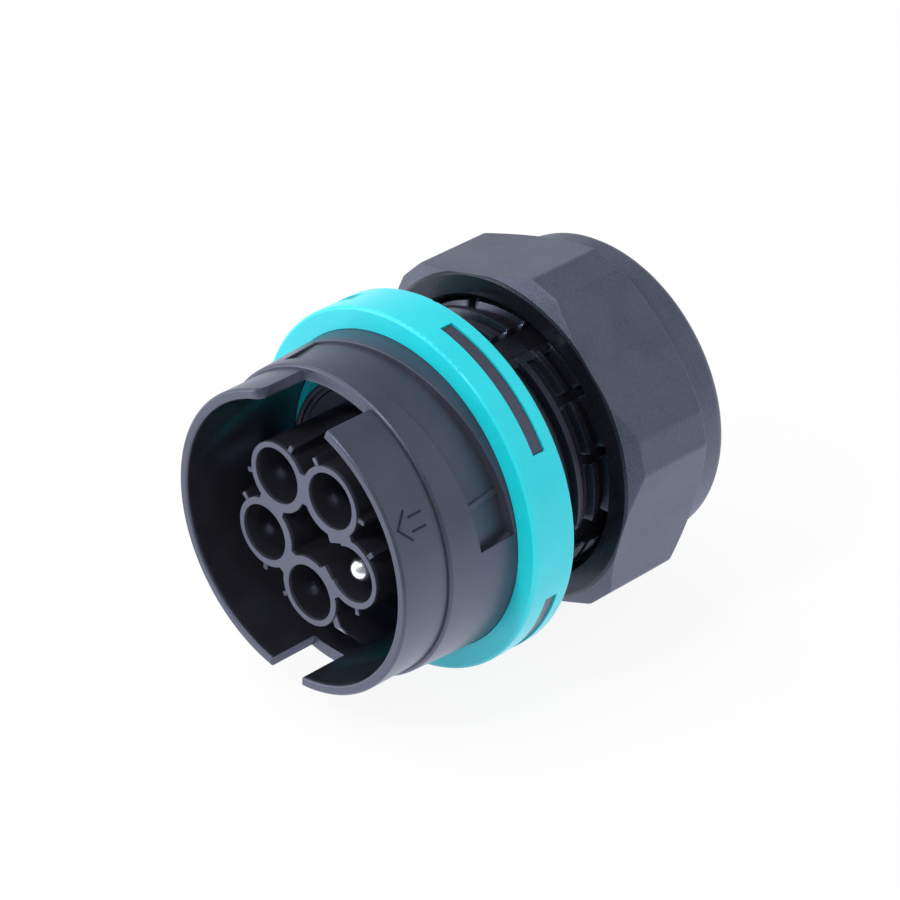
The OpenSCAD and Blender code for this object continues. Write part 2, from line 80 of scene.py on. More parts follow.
# %% A helper for every kind of node tree
def put(tree, kind, inputs=(), **settings):
    """Adds a node to a tree, sets or links its inputs, and returns it"""
    made = tree.nodes.new(kind)
    for setting, value in settings.items():
        setattr(made, setting, value)
    for socket, value in dict(inputs).items():
        if isinstance(value, bpy.types.NodeSocket):
            tree.links.new(value, made.inputs[socket])
        else:
            made.inputs[socket].default_value = value
    return made


def math_node(tree, operation, *values):
    """A Math node of one operation; returns its output"""
    return put(tree, "ShaderNodeMath", dict(enumerate(values)), operation=operation).outputs[0]


print("tree helpers are ready")

# %% [markdown]
# ## Moulded finishes
# Black glass-filled nylon is never one flat black. The mould leaves a fine grain that breaks up
# the shine, and the colour drifts a little where the plastic cooled unevenly. Two noises give
# both: a broad one for the drift and a fine one for the grain, which also sets the roughness and
# a shallow bump. They read Object coordinates, so the grain has a true size in millimetres.

# %% Grain, drift and a moulded finish
def grain(tree, size, detail=2.0, stretch=(1, 1, 1)):
    """A noise with features of about this size in millimetres, from 0 to 1"""
    place = put(tree, "ShaderNodeTexCoord").outputs["Object"]
    placed = put(tree, "ShaderNodeMapping", {"Vector": place, "Scale": stretch}).outputs[0]
    noise = {"Vector": placed, "Scale": 1 / (size * MM), "Detail": detail}
    return put(tree, "ShaderNodeTexNoise", noise).outputs["Fac"]


def spread(tree, share, low, high, start=0.3, end=0.7):
    """Takes a share between start and end to a number between low and high"""
    limits = {"Value": share, "From Min": start, "From Max": end, "To Min": low, "To Max": high}
    return put(tree, "ShaderNodeMapRange", limits).outputs[0]


def tint(tree, share, dark, pale):
    """Mixes two colours by a share"""
    ramp = put(tree, "ShaderNodeValToRGB", {"Fac": share})
    for stop, place, colour in zip(ramp.color_ramp.elements, (0.3, 0.7), (dark, pale)):
        stop.position = place
        stop.color = (*colour, 1)
    return ramp.outputs["Color"]


COOL_SHEEN = (0.66, 0.70, 1.0, 1)
DRIFT_SIZE = 5
DRIFT_SHARE = 0.6
ROUGH_SPREAD = 0.06


def moulded(name, dark, pale, rough, grain_size, grain_depth, sheen=0.5):
    """A moulded finish of two tones, with its roughness, its grain in millimetres and its sheen"""
    finish = bpy.data.materials.new(name)
    finish.use_nodes = True
    tree = finish.node_tree
    shader = tree.nodes["Principled BSDF"]
    fine = grain(tree, grain_size)
    drift = grain(tree, DRIFT_SIZE)
    shader.inputs["Specular IOR Level"].default_value = sheen
    shader.inputs["Specular Tint"].default_value = COOL_SHEEN
    paler_or_darker = math_node(tree, "SUBTRACT", drift, 0.5)
    both = math_node(tree, "MULTIPLY_ADD", paler_or_darker, DRIFT_SHARE, fine)
    tree.links.new(tint(tree, both, dark, pale), shader.inputs["Base Color"])
    uneven = spread(tree, fine, rough - ROUGH_SPREAD, rough + ROUGH_SPREAD)
    tree.links.new(uneven, shader.inputs["Roughness"])
    bump = put(tree, "ShaderNodeBump", {"Height": fine, "Distance": grain_depth * MM})
    tree.links.new(bump.outputs[0], shader.inputs["Normal"])
    return finish


ring_teal = moulded(
    "ring_teal_elastomer", (0.006, 0.58, 0.66), (0.010, 0.65, 0.73), 0.36, 0.15, 0.006, sheen=0.75)
# Painted shade: the plug's seal is a darker teal than the ring, for its place deep in the cavity.
shaded_plug_seal_teal = moulded(
    "plug_seal_teal_painted_shade", (0.005, 0.46, 0.56), (0.008, 0.52, 0.62), 0.40, 0.15, 0.006)
gland_rubber = moulded(
    "gland_dark_rubber", (0.020, 0.020, 0.022), (0.034, 0.034, 0.037), 0.70, 0.30, 0.012)
washer_natural = moulded(
    "washer_natural_plastic", (0.62, 0.61, 0.57), (0.70, 0.69, 0.65), 0.38, 0.40, 0.004)
nut_black = moulded(
    "nut_black_grained", (0.028, 0.030, 0.041), (0.056, 0.060, 0.080), 0.50, 0.22, 0.075, sheen=1.0)
insert_black = moulded(
    "insert_black_satin", (0.040, 0.042, 0.056), (0.053, 0.056, 0.073), 0.46, 0.18, 0.008, sheen=1.0)
housing_black = moulded(
    "housing_black_satin", (0.024, 0.026, 0.036), (0.038, 0.041, 0.055), 0.41, 0.16, 0.010, sheen=1.0)
# Painted shade: this much darker black, with less sheen, stands in for the shade on the thread behind
# the ring, in the nut's mouth and on the arrow's strokes.
shaded_smooth_black = moulded(
    "smooth_black_painted_shade", (0.006, 0.006, 0.008), (0.010, 0.010, 0.014), 0.22, 0.16, 0.010, sheen=0.4)
print("moulded finishes:", [m.name for m in bpy.data.materials if m.users == 0])

# %% [markdown]
# ## Grained outside, polished and shaded inside
# A mould is finished in several ways. The faces that a hand grips get a satin grain; the cores
# that form the cavity and the tubes are polished, so that the part lets go of them. The polished
# faces are also painted darker than the satin, as painted shade for the deep cavity and the bores.
# Two materials on two sets of faces would leave a hard border in plain sight. Instead each finish
# reads where a point lies, by its depth and its distance from the axis, and fades from one surface
# to the other.

# %% Polished places
POLISHED_ROUGH = 0.13
# The polished tones are darker than the satin: painted shade for the cavity and the tube bores.
POLISHED_SHADE_TONES = (0.015, 0.015, 0.020), (0.021, 0.021, 0.028)
POLISHED_SPREAD = 0.04
POLISHED_DRIFT = 3
POLISHED_HAZE = 0.8
FADE = 0.15


def depth_and_radius(tree):
    """How far back from the origin a point lies, and how far from the axis"""
    place = put(tree, "ShaderNodeTexCoord").outputs["Object"]
    x, y, z = put(tree, "ShaderNodeSeparateXYZ", {0: place}).outputs
    square = math_node(tree, "MULTIPLY_ADD", x, x, math_node(tree, "MULTIPLY", z, z))
    return y, math_node(tree, "SQRT", square)


def polish_and_shade(finish, where):
    """Mixes a smoother surface, painted darker as shade, into a moulded finish by a share from 0 to 1"""
    tree = finish.node_tree
    shader = tree.nodes["Principled BSDF"]
    satin = shader.inputs["Base Color"].links[0].from_socket
    gloss_and_shade = tint(tree, grain(tree, POLISHED_DRIFT), *POLISHED_SHADE_TONES)
    colour = put(tree, "ShaderNodeMix", {"Factor": where, "A": satin, "B": gloss_and_shade}, data_type="RGBA")
    satin_rough = shader.inputs["Roughness"].links[0].from_socket
    haze = grain(tree, POLISHED_HAZE)
    gloss_rough = spread(tree, haze, POLISHED_ROUGH - POLISHED_SPREAD, POLISHED_ROUGH + POLISHED_SPREAD)
    rough = put(tree, "ShaderNodeMix", {"Factor": where, "A": satin_rough, "B": gloss_rough})
    tree.links.new(colour.outputs["Result"], shader.inputs["Base Color"])
    tree.links.new(rough.outputs["Result"], shader.inputs["Roughness"])


def behind(tree, depth):
    """1 for the points of a piece that lie behind a depth, 0 in front of it"""
    y = depth_and_radius(tree)[0]
    return spread(tree, y, 0, 1, at(depth - FADE, 0, 0).y, at(depth + FADE, 0, 0).y)


POLISHED_TO_R = 16.42
SATIN_FROM_R = 16.52
SATIN_RIM = 0.4
TUBE_ENDS = 2.8
tree = housing_black.node_tree
in_cavity = spread(tree, depth_and_radius(tree)[1], 1, 0, POLISHED_TO_R * MM, SATIN_FROM_R * MM)
# Painted shade: the cavity wall and the insert behind the tube ends take the darker polished tones.
polish_and_shade(housing_black, math_node(tree, "MULTIPLY", in_cavity, behind(tree, SATIN_RIM)))
polish_and_shade(insert_black, behind(insert_black.node_tree, TUBE_ENDS))
print("polished inside:", housing_black.name, insert_black.name)

# %% [markdown]
# ## Metal finishes
# The contacts are turned from bar and silver plated, so fine rings run round them, and the small
# screws and the spring ring are plated steel. A noise squeezed along the axis makes the rings a
# cutting tool leaves. Metal has little colour of its own: its roughness and bump do the work.

# %% Silver and steel
TURNED = (0.08, 1, 0.08)
TARNISH_SIZE = 1.6
RING_DULLING = 0.08


def plated(name, dark, pale, rough, ring_size, ring_depth):
    """A plated metal with fine rings across the socket's axis"""
    finish = bpy.data.materials.new(name)
    finish.use_nodes = True
    tree = finish.node_tree
    shader = tree.nodes["Principled BSDF"]
    shader.inputs["Metallic"].default_value = 1
    rings = grain(tree, ring_size, detail=3.0, stretch=TURNED)
    tarnish = grain(tree, TARNISH_SIZE)
    tree.links.new(tint(tree, tarnish, dark, pale), shader.inputs["Base Color"])
    uneven = spread(tree, rings, rough - ROUGH_SPREAD, rough + RING_DULLING)
    tree.links.new(uneven, shader.inputs["Roughness"])
    bump = put(tree, "ShaderNodeBump", {"Height": rings, "Distance": ring_depth * MM})
    tree.links.new(bump.outputs[0], shader.inputs["Normal"])
    return finish


contact_silver = plated(
    "contact_silver_plated", (0.78, 0.77, 0.74), (0.88, 0.87, 0.85), 0.22, 0.12, 0.003)
screw_zinc = plated(
    "screw_zinc_plated", (0.50, 0.51, 0.53), (0.62, 0.63, 0.66), 0.34, 0.20, 0.004)
print("made", contact_silver.name, "and", screw_zinc.name)

# %% [markdown]
# ## Rounded edges on the solids
# A drawn solid has knife edges, and a moulded one has none: each edge carries a small radius that
# catches a line of light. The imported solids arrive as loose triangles. A copy is welded, its flat
# faces are joined again, and a Bevel rounds the outer edges sharper than a set angle. Inner corners
# stay sharp: the narrow ledges beside them leave a bevel no room, and it would cross itself. Weighted
# normals keep the broad faces flat in the shading, so only the narrow rounding bends the light.

# %% Soft-edged copies
FLAT_ANGLE = math.radians(0.1)
SHARP_ANGLE = math.radians(32)
WIDEST = 0.5


def settle(piece):
    """Turns a piece with modifiers into a plain mesh"""
    graph = bpy.context.evaluated_depsgraph_get()
    mesh = bpy.data.meshes.new_from_object(piece.evaluated_get(graph), depsgraph=graph)
    piece.modifiers.clear()
    piece.data = mesh
    return piece


def welded_copy(node, name):
    """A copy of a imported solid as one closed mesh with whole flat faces"""
    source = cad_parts[node].data
    mesh = bpy.data.meshes.new(name)
    mesh.from_pydata([v.co for v in source.vertices], [], [p.vertices[:] for p in source.polygons])
    shape = bmesh.new()
    shape.from_mesh(mesh)
    bmesh.ops.remove_doubles(shape, verts=shape.verts, dist=0.001 * MM)
    bmesh.ops.dissolve_limit(shape, angle_limit=FLAT_ANGLE, verts=shape.verts, edges=shape.edges)
    shape.to_mesh(mesh)
    shape.free()
    piece = bpy.data.objects.new(name, mesh)
    bpy.context.scene.collection.objects.link(piece)
    return piece


def flat_shading(piece):
    """Lets the broad faces of a smooth mesh set the normals at their edges"""
    normals = piece.modifiers.new("flat faces stay flat", "WEIGHTED_NORMAL")
    normals.keep_sharp = True


def weigh_edges(mesh, width_at):
    """Gives each outer edge its share of the widest rounding; inner corners stay sharp"""
    shape = bmesh.new()
    shape.from_mesh(mesh)
    weight = shape.edges.layers.float.new("bevel_weight_edge")
    for edge in shape.edges:
        if edge.calc_face_angle(0) > SHARP_ANGLE:
            x, y, z = (edge.verts[0].co + edge.verts[1].co) / 2
            edge.smooth = edge.is_convex
            edge[weight] = edge.is_convex * width_at((y - RIM) / MM, math.hypot(x, z) / MM) / WIDEST
    shape.to_mesh(mesh)
    shape.free()


def soft_edged(node, name, finish, width_at=None):
    """A welded copy of a solid with rounded edges; without a rule for them they stay sharp"""
    piece = welded_copy(node, name)
    piece.data.materials.append(finish)
    piece.data.shade_smooth()
    if width_at:
        weigh_edges(piece.data, width_at)
        bevel = piece.modifiers.new("edge rounding", "BEVEL")
        bevel.limit_method = "WEIGHT"
        bevel.width = WIDEST * MM
        bevel.segments = 2
        bevel.use_clamp_overlap = False
    else:
        piece.data.set_sharp_from_angle(angle=SHARP_ANGLE)
    flat_shading(piece)
    settle(piece)
    print(name, "has", len(piece.data.polygons), "faces")
    return piece


RIM_ROUND = 0.28
OUTSIDE_ROUND = 0.10
THREAD_ROUND = 0.04
INSERT_ROUND = 0.08
THREAD_FROM = 21.6
RIM_DEPTH = 0.1
RIM_MIDDLE_R = 16.5


def housing_rounding(depth, radius):
    """A soft inner rim, small roundings outside, and fine ones on the thread"""
    if depth < RIM_DEPTH and radius < RIM_MIDDLE_R:
        return RIM_ROUND
    return THREAD_ROUND if depth > THREAD_FROM else OUTSIDE_ROUND


def even(width):
    """A rule that gives every outer edge the same rounding"""
    return lambda depth, radius: width


housing = soft_edged("socket_body", "housing", housing_black, housing_rounding)
seal_ring = soft_edged("sealing_ring", "seal_ring", ring_teal)
insert = soft_edged("contact_insert", "tube_insert", insert_black, even(INSERT_ROUND))

# %% [markdown]
# ## The nut as a rule
# The nut is a round blank with flats. Turned on a lathe it would be a ring with coned ends; the
# flats then limit how far from the axis any point may lie. Modelling six flats, twelve bevels and
# their curved edges by hand is slow, but the rule is short: a point's radius is the smallest of
# the blank's, the flat's and the corner's. Geometry Nodes apply it with a smooth minimum, which
# also rounds the edges where one limit takes over from another.

# %% The lathed blank
NUT_CORNER_ANGLE = 18.5
NUT_FRONT = 31.4
HEX_REAR = 43.75
NUT_REAR = 48.7
FACE_R = 19.1
BEVEL_SLOPE = math.tan(math.radians(32))
BLANK_R = 22.5
BOSS_R = 18.2
NUT_BORE_R = 16.4
NUT_SHOULDER = 46.0
OPENING_R = 10.5
CHAMFER = 0.5
BEVEL_STEP = 0.12
PLAIN_STEP = 2.0


def rounded(outline, radii, steps=4):
    """Replaces corners of a closed outline by arcs; radii gives each corner's radius"""
    points = []
    for i, corner in enumerate(outline):
        corner = Vector(corner)
        before = (Vector(outline[i - 1]) - corner).normalized()
        after = (Vector(outline[(i + 1) % len(outline)]) - corner).normalized()
        half = before.angle(after) / 2
        if radii[i] == 0:
            points.append(corner)
            continue
        middle = corner + (before + after).normalized() * (radii[i] / math.sin(half))
        first = corner + before * (radii[i] / math.tan(half)) - middle
        last = corner + after * (radii[i] / math.tan(half)) - middle
        for step in range(steps + 1):
            points.append(middle + first.slerp(last, step / steps) * radii[i])
    return points


def spaced(outline, longest):
    """Adds points so that no step along a closed outline is longer than this"""
    points = []
    for i, start in enumerate(outline):
        end = outline[(i + 1) % len(outline)]
        count = max(1, math.ceil((end - start).length / longest(start, end)))
        points += [start.lerp(end, step / count) for step in range(count)]
    return points


fall = (BLANK_R - FACE_R) * BEVEL_SLOPE
nut_outline = [
    (NUT_FRONT, NUT_BORE_R + CHAMFER), (NUT_FRONT, FACE_R),
    (NUT_FRONT + fall, BLANK_R), (HEX_REAR - fall, BLANK_R),
    (HEX_REAR, FACE_R), (HEX_REAR, BOSS_R),
    (NUT_REAR, BOSS_R), (NUT_REAR, OPENING_R + CHAMFER),
    (NUT_REAR - CHAMFER, OPENING_R), (NUT_SHOULDER, OPENING_R),
    (NUT_SHOULDER, NUT_BORE_R), (NUT_FRONT + CHAMFER, NUT_BORE_R),
]
nut_corners = [0.1, 0.15, 0, 0, 0.15, 0.25, 1.2, 0.15, 0.15, 0.15, 0.2, 0.1]


def on_bevel(start, end):
    """Short steps on the coned ends, where the flats cut in, and long ones elsewhere"""
    low, high = sorted((start[1], end[1]))
    return BEVEL_STEP if high > FACE_R and low < BLANK_R else PLAIN_STEP


nut_section = spaced(rounded(nut_outline, nut_corners), on_bevel)
print("the nut's section has", len(nut_section), "points")

# %% Turn the section round the axis
def turned(name, section, angles):
    """A closed section of depth and radius, turned through a full circle of angles"""
    rings = len(angles)
    count = len(section)
    points = [at(depth, angle, radius) for angle in angles for depth, radius in section]
    faces = []
    for ring in range(rings):
        there = (ring + 1) % rings * count
        for i in range(count):
            j = (i + 1) % count
            faces.append((ring * count + i, ring * count + j, there + j, there + i))
    mesh = bpy.data.meshes.new(name)
    mesh.from_pydata(points, [], faces)
    shape = bmesh.new()
    shape.from_mesh(mesh)
    bmesh.ops.recalc_face_normals(shape, faces=shape.faces)
    shape.to_mesh(mesh)
    shape.free()
    piece = bpy.data.objects.new(name, mesh)
    bpy.context.scene.collection.objects.link(piece)
    return piece


CORNER_EDGE = 5.51
FINE_TURN = 0.15
PLAIN_TURN = 0.75
near_edge = [CORNER_EDGE + FINE_TURN * step for step in range(-9, 10)]
on_corner = [PLAIN_TURN * step for step in range(-5, 6)]
on_flat = [near_edge[-1] + PLAIN_TURN * step for step in range(1, 62)]
one_sector = sorted(near_edge + [-turn for turn in near_edge] + on_corner + on_flat)
nut_angles = [NUT_CORNER_ANGLE + 60 * corner + turn for corner in range(6) for turn in one_sector]
cap_nut = turned("hex_nut", nut_section, nut_angles)
print("the blank has", len(cap_nut.data.vertices), "points")

# %% The rule of the flats
def new_rule(name, sizes):
    """A Geometry Nodes tree with a geometry in and out and named sizes as inputs"""
    tree = bpy.data.node_groups.new(name, "GeometryNodeTree")
    face = tree.interface
    face.new_socket("Geometry", in_out="INPUT", socket_type="NodeSocketGeometry")
    for size in sizes:
        face.new_socket(size, in_out="INPUT", socket_type="NodeSocketFloat")
    face.new_socket("Geometry", in_out="OUTPUT", socket_type="NodeSocketGeometry")
    return tree, put(tree, "NodeGroupInput").outputs, put(tree, "NodeGroupOutput")


def finish_rule(tree, geometry, end, finish):
    """Ends a tree in real geometry with its finish"""
    real = put(tree, "GeometryNodeRealizeInstances", {0: geometry}).outputs[0]
    smooth = put(tree, "GeometryNodeSetShadeSmooth", {"Geometry": real}).outputs[0]
    painted = put(tree, "GeometryNodeSetMaterial", {"Geometry": smooth, "Material": finish}).outputs[0]
    tree.links.new(painted, end.inputs[0])


def moved(tree, geometry, place):
    """Moves each point of a geometry to its new place"""
    return put(tree, "GeometryNodeSetPosition", {"Geometry": geometry, "Position": place}).outputs[0]


def apply_rule(piece, tree, sizes):
    """Gives a piece the tree with its sizes and turns the result into a plain mesh"""
    rule = piece.modifiers.new(tree.name, "NODES")
    rule.node_group = tree
    for socket in tree.interface.items_tree:
        if socket.in_out == "INPUT" and socket.name in sizes:
            rule[socket.identifier] = sizes[socket.name]
    flat_shading(piece)
    settle(piece)
    print(piece.name, "has", len(piece.data.polygons), "faces")


nut_sizes = {
    "Flat": 19.2 * MM, "Corner": 21.0 * MM, "Edge": 0.28 * MM,
    "Corner Angle": math.radians(NUT_CORNER_ANGLE),
}
tree, given, end = new_rule("flats of the nut", nut_sizes)
place = put(tree, "GeometryNodeInputPosition").outputs[0]
x, y, z = put(tree, "ShaderNodeSeparateXYZ", {0: place}).outputs
angle = math_node(tree, "SUBTRACT", math_node(tree, "ARCTAN2", x, z), given["Corner Angle"])
square = math_node(tree, "MULTIPLY_ADD", x, x, math_node(tree, "MULTIPLY", z, z))
radius = math_node(tree, "SQRT", square)
HALF_FLAT = math.radians(30)


def reach_of(distance, turn):
    """Radius of a flat face at a distance from the axis, one to each sixth of a turn"""
    from_middle = math_node(tree, "WRAP", math_node(tree, "ADD", angle, turn), HALF_FLAT, -HALF_FLAT)
    return math_node(tree, "DIVIDE", distance, math_node(tree, "COSINE", from_middle))


flat_reach = reach_of(given["Flat"], HALF_FLAT)
corner_reach = reach_of(given["Corner"], 0.0)
limit = math_node(tree, "SMOOTH_MIN", flat_reach, corner_reach, given["Edge"])
scale = math_node(tree, "DIVIDE", math_node(tree, "SMOOTH_MIN", radius, limit, given["Edge"]), radius)
cut = put(tree, "ShaderNodeCombineXYZ", {
    "X": math_node(tree, "MULTIPLY", x, scale), "Y": y, "Z": math_node(tree, "MULTIPLY", z, scale),
})
finish_rule(tree, moved(tree, given["Geometry"], cut.outputs[0]), end, nut_black)
apply_rule(cap_nut, tree, nut_sizes)

# %% [markdown]
# ## Painted shade on smooth faces
# The barrel's thread and the mouth of the nut come from smooth parts of the mould and lie in the
# shade behind the ring. Their second material is a much darker black: painted shade. Their borders
# fall on hidden places and on edges, so here no fade is needed: the faces that lie there get that
# second material, picked by the depth and radius of their middles.

# %% Faces of the thread and of the nut's mouth
BEHIND_RING = 21.0
NUT_MOUTH = NUT_FRONT + 0.2
IN_BORE_R = NUT_BORE_R + 0.6
BORE_END = NUT_SHOULDER + 0.1


def refinish(piece, finish, where):
    """Gives another finish to the faces whose middle fits a rule of depth and radius"""
    piece.data.materials.append(finish)
    count = 0
    for face in piece.data.polygons:
        x, y, z = face.center
        if where((y - RIM) / MM, math.hypot(x, z) / MM):
            face.material_index = 1
            count += 1
    print(piece.name, "has", count, "smooth faces")


def in_nut_mouth(depth, radius):
    """The front face of the nut and the bore behind it"""
    return depth < NUT_MOUTH or (radius < IN_BORE_R and depth < BORE_END)


# Painted shade on the thread behind the ring and on the nut's front face and bore.
refinish(housing, shaded_smooth_black, lambda depth, radius: depth > BEHIND_RING)
refinish(cap_nut, shaded_smooth_black, in_nut_mouth)

# %% [markdown]
# ## A dark bead round the collar
# A narrow black bead runs round the collar on the cavity's floor. It is a dark thing put where the
# inner part of the seal lies in shade: painted shade. It covers part of the seal, so only a thin
# crescent of teal is seen from the front. Like the nut's blank it is a section turned round the axis.

# %% The dark bead over the seal's shaded part
SHADE_BEAD_FRONT = 13.35
SHADE_BEAD_REAR = 14.2
SHADE_BEAD_INNER_R = 13.2
SHADE_BEAD_OUTER_R = 13.9
SHADE_BEAD_TURN = 3
shade_bead_outline = [
    (SHADE_BEAD_FRONT, SHADE_BEAD_INNER_R), (SHADE_BEAD_FRONT, SHADE_BEAD_OUTER_R), (SHADE_BEAD_REAR, SHADE_BEAD_OUTER_R), (SHADE_BEAD_REAR, SHADE_BEAD_INNER_R),
]
shade_bead_section = rounded(shade_bead_outline, [0.12, 0.2, 0.1, 0.1])
# Painted shade: the black bead covers the shaded inner part of the seal.
seal_shade_bead = turned("seal_shade_bead", shade_bead_section, range(0, 360, SHADE_BEAD_TURN))
seal_shade_bead.data.materials.append(housing_black)
seal_shade_bead.data.shade_smooth()
flat_shading(seal_shade_bead)
settle(seal_shade_bead)
print("the lip has", len(seal_shade_bead.data.polygons), "faces")

# %% [markdown]
# ## The thread inside the nut
# The nut's own thread is a ridge that winds along its bore and lies between the ridges of the
# barrel. A Screw modifier could wind it, but a path with a rule is clearer: a line gets its points
# moved onto a helix, and a trapezoid is swept along it. Its pitch is the barrel's, so the two stay
# clear of each other while the nut turns.

# %% The nut's thread
PITCH = 2.5
TURNS = 5
STEPS_PER_TURN = 60
GROOVE_ANGLE = 66.5
GROOVE_DEPTH = 26.45
NUT_THREAD_FRONT = 33.45
groove_turn = 360 * (NUT_THREAD_FRONT - GROOVE_DEPTH) / PITCH
thread_sizes = {
    "Radius": 16.16 * MM, "Start": at(NUT_THREAD_FRONT, 0, 0).y,
    "Length": TURNS * PITCH * MM, "Turns": float(TURNS),
    "Start Angle": math.radians(GROOVE_ANGLE + groove_turn),
    "Height": 0.56 * MM, "Root": 1.25 * MM, "Crest": 0.7 * MM,
}
tree, given, end = new_rule("thread of the nut", thread_sizes)
line = put(tree, "GeometryNodeCurvePrimitiveLine").outputs[0]
steps = {"Curve": line, "Count": STEPS_PER_TURN * TURNS}
points = put(tree, "GeometryNodeResampleCurve", steps).outputs[0]
along = put(tree, "GeometryNodeSplineParameter").outputs["Factor"]
turns = math_node(tree, "MULTIPLY", math_node(tree, "MULTIPLY", along, given["Turns"]), math.tau)
angle = math_node(tree, "ADD", turns, given["Start Angle"])
helix = put(tree, "ShaderNodeCombineXYZ", {
    "X": math_node(tree, "MULTIPLY", math_node(tree, "SINE", angle), given["Radius"]),
    "Y": math_node(tree, "MULTIPLY_ADD", along, given["Length"], given["Start"]),
    "Z": math_node(tree, "MULTIPLY", math_node(tree, "COSINE", angle), given["Radius"]),
})
facing = {"Curve": moved(tree, points, helix.outputs[0]), "Normal": (0, 1, 0)}
upright = put(tree, "GeometryNodeSetCurveNormal", facing, mode="FREE").outputs[0]
section = put(tree, "GeometryNodeCurvePrimitiveQuadrilateral", {
    "Height": given["Height"], "Bottom Width": given["Crest"], "Top Width": given["Root"], "Offset": 0.0,
}, mode="TRAPEZOID").outputs[0]
sweep = {"Curve": upright, "Profile Curve": section, "Fill Caps": True}
finish_rule(tree, put(tree, "GeometryNodeCurveToMesh", sweep).outputs[0], end, shaded_smooth_black)
nut_thread = bpy.data.objects.new("nut_thread", bpy.data.meshes.new("nut_thread"))
bpy.context.scene.collection.objects.link(nut_thread)
apply_rule(nut_thread, tree, thread_sizes)

# %% [markdown]
# ## The arrow on the front band
# A raised arrow of a few strokes shows how to line up the plug. The strokes are drawn flat as
# edges, wrapped round the band by a rule and swept with a round bead half sunk in the surface.
# A painted mark would be quicker, but only a bead has its own light and shade. The strokes also
# take the darker black painted for shade, so they read as dark lines.

# %% The arrow mark
BAND_R = 17.5
ARROW_MIDDLE = 65.4
head = [(-5.6, 2.5), (0, 1.0), (5.4, 2.5)]
shaft = [(-2.6, 2.8), (-2.6, 4.6), (2.6, 2.8), (2.6, 4.6)]
flat = [Vector((math.radians(turn) * BAND_R * MM, depth * MM, 0)) for turn, depth in head + shaft]
arrow_mesh = bpy.data.meshes.new("arrow_mark")
arrow_mesh.from_pydata(flat, [(0, 1), (1, 2), (3, 4), (5, 6)], [])
arrow_mark = bpy.data.objects.new("arrow_mark", arrow_mesh)
bpy.context.scene.collection.objects.link(arrow_mark)
arrow_sizes = {
    "Band Radius": BAND_R * MM, "Middle": math.radians(ARROW_MIDDLE), "Rim": RIM, "Bead": 0.13 * MM,
}
tree, given, end = new_rule("arrow round the band", arrow_sizes)
strip = put(tree, "GeometryNodeMeshToCurve", {0: given["Geometry"]}).outputs[0]
steps = {"Curve": strip, "Length": 0.12 * MM}
strip = put(tree, "GeometryNodeResampleCurve", steps, mode="LENGTH").outputs[0]
place = put(tree, "GeometryNodeInputPosition").outputs[0]
arc, depth, _ = put(tree, "ShaderNodeSeparateXYZ", {0: place}).outputs
angle = math_node(tree, "ADD", math_node(tree, "DIVIDE", arc, given["Band Radius"]), given["Middle"])
wrapped = put(tree, "ShaderNodeCombineXYZ", {
    "X": math_node(tree, "MULTIPLY", math_node(tree, "SINE", angle), given["Band Radius"]),
    "Y": math_node(tree, "ADD", depth, given["Rim"]),
    "Z": math_node(tree, "MULTIPLY", math_node(tree, "COSINE", angle), given["Band Radius"]),
})
round_bead = {"Resolution": 8, "Radius": given["Bead"]}
bead = put(tree, "GeometryNodeCurvePrimitiveCircle", round_bead).outputs[0]
laid = moved(tree, strip, wrapped.outputs[0])
stroke = {"Curve": laid, "Profile Curve": bead, "Fill Caps": True}
swept = put(tree, "GeometryNodeCurveToMesh", stroke).outputs[0]
finish_rule(tree, swept, end, shaded_smooth_black)
apply_rule(arrow_mark, tree, arrow_sizes)

# %% [markdown]
# ## The other pieces
# The pins, the seals and the hidden gland parts are right as the solids have them. The ones that
# can be seen get soft edges too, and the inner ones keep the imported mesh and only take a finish.

# %% Pins, seals and inner pieces
SEAL_ROUND = 0.08
GLAND_ROUND = 0.20
PIN_ROUND = 0.10
plug_seal = soft_edged("mating_seal", "plug_seal", shaded_plug_seal_teal, even(SEAL_ROUND))
gland = soft_edged("gland_seal", "cable_gland", gland_rubber, even(GLAND_ROUND))
pins = {}
for node in ("line_contact_1", "line_contact_2", "line_contact_3", "line_contact_4", "earth_contact"):
    name = node.replace("contact", "pin")
    pins[node] = soft_edged(node, name, contact_silver, even(PIN_ROUND))
plain_nodes = {
    "contact_carrier": insert_black, "insert_gasket": gland_rubber, "terminal_block": insert_black,
    "terminal_screws": screw_zinc, "retaining_ring": screw_zinc, "slip_washer": washer_natural,
}
for node, finish in plain_nodes.items():
    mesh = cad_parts[node].data
    mesh.materials.clear()
    mesh.materials.append(finish)
print("finished", len(plain_nodes), "inner pieces")

# %% [markdown]
# ## What moves with what
# The nut turns on the barrel and pushes the gland ahead of it, so each new piece rides on the
# body of the solid that it stands for.

# %% Bodies and replaced solids
stand_ins = [
    (housing, "socket", "socket_body", "housing"), (seal_ring, "socket", "sealing_ring", "seal"),
    (insert, "socket", "contact_insert", "insert"), (plug_seal, "socket", "mating_seal", "seal"),
    (cap_nut, "nut", "cap_nut", "nut"), (gland, "gland", "gland_seal", "gasket"),
]
stand_ins += [(pin, "socket", node, "contact") for node, pin in pins.items()]
for piece, body, node, slot in stand_ins:
    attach(piece, body)
    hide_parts(node)
added = [(nut_thread, "nut", "nut"), (arrow_mark, "socket", "housing"), (seal_shade_bead, "socket", "housing")]
for piece, body, slot in added:
    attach(piece, body)
print("placed", len(stand_ins) + len(added), "pieces on their bodies")

# %% [markdown]
# ## Floor
# The photograph shows the socket on plain white. The floor is a pale matte sheet that throws light
# back up under it. To the camera most of the floor is shown as plain white and the rest keeps the
# shadow. In the sheen of the black plastic it is white too, as a lit table is, but the light ends
# on the side of the photographer: there it is dark, and the front edges of the bands mirror that.

